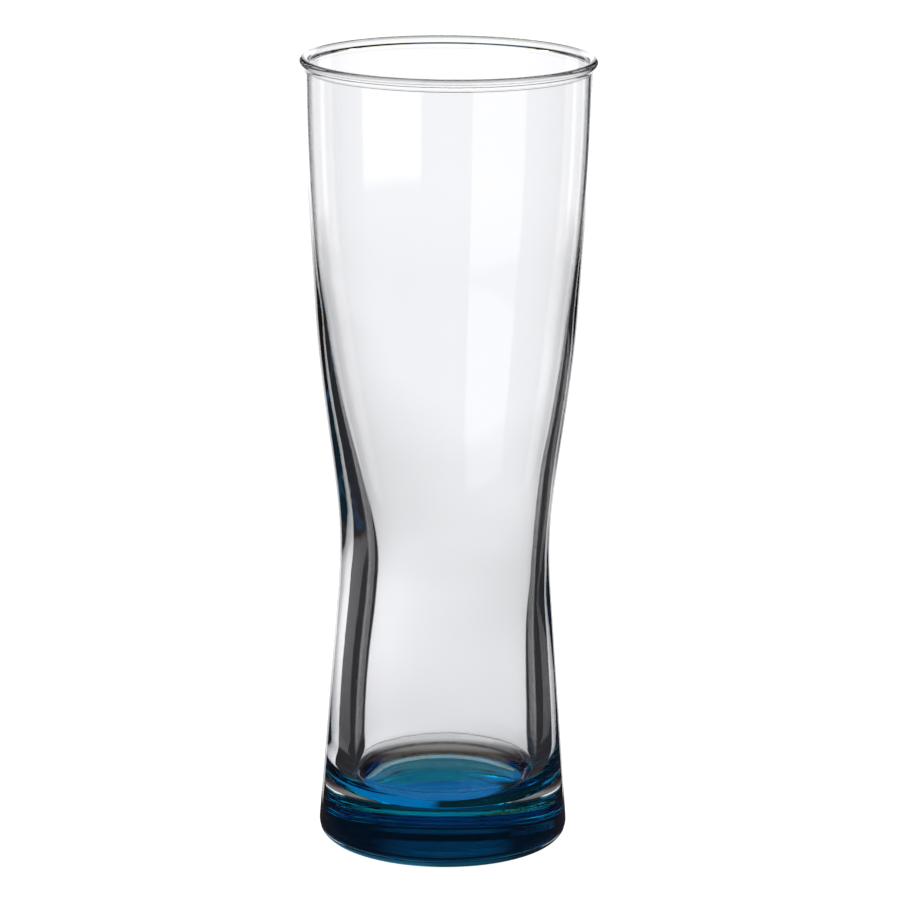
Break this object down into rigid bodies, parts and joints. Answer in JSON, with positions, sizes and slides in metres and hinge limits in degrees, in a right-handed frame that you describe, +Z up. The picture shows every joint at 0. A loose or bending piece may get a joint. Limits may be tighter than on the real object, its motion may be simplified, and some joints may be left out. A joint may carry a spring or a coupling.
{
  "type": "pilsner glass",
  "caption": "Tall clear beer glass with a rolled rim, a flared bowl, a narrow waist and a heavy foot coated in translucent blue underneath.",
  "frame": {"origin": "centre of the ring that the glass stands on, at the height of the table", "axes": "+Z up along the axis of the glass, from the foot to the rim; the glass is round, so +X and +Y are free"},
  "size_m": [0.0806, 0.0806, 0.2195],
  "materials": {
    "clear_glass": "clear fire-polished soda-lime glass",
    "blue_coat": "translucent blue lacquer, a little streaky, thinner at its top edge"
  },
  "bodies": {
    "root": {"glass_body": "clear_glass", "base_coat": "blue_coat"}
  },
  "joints": []
}
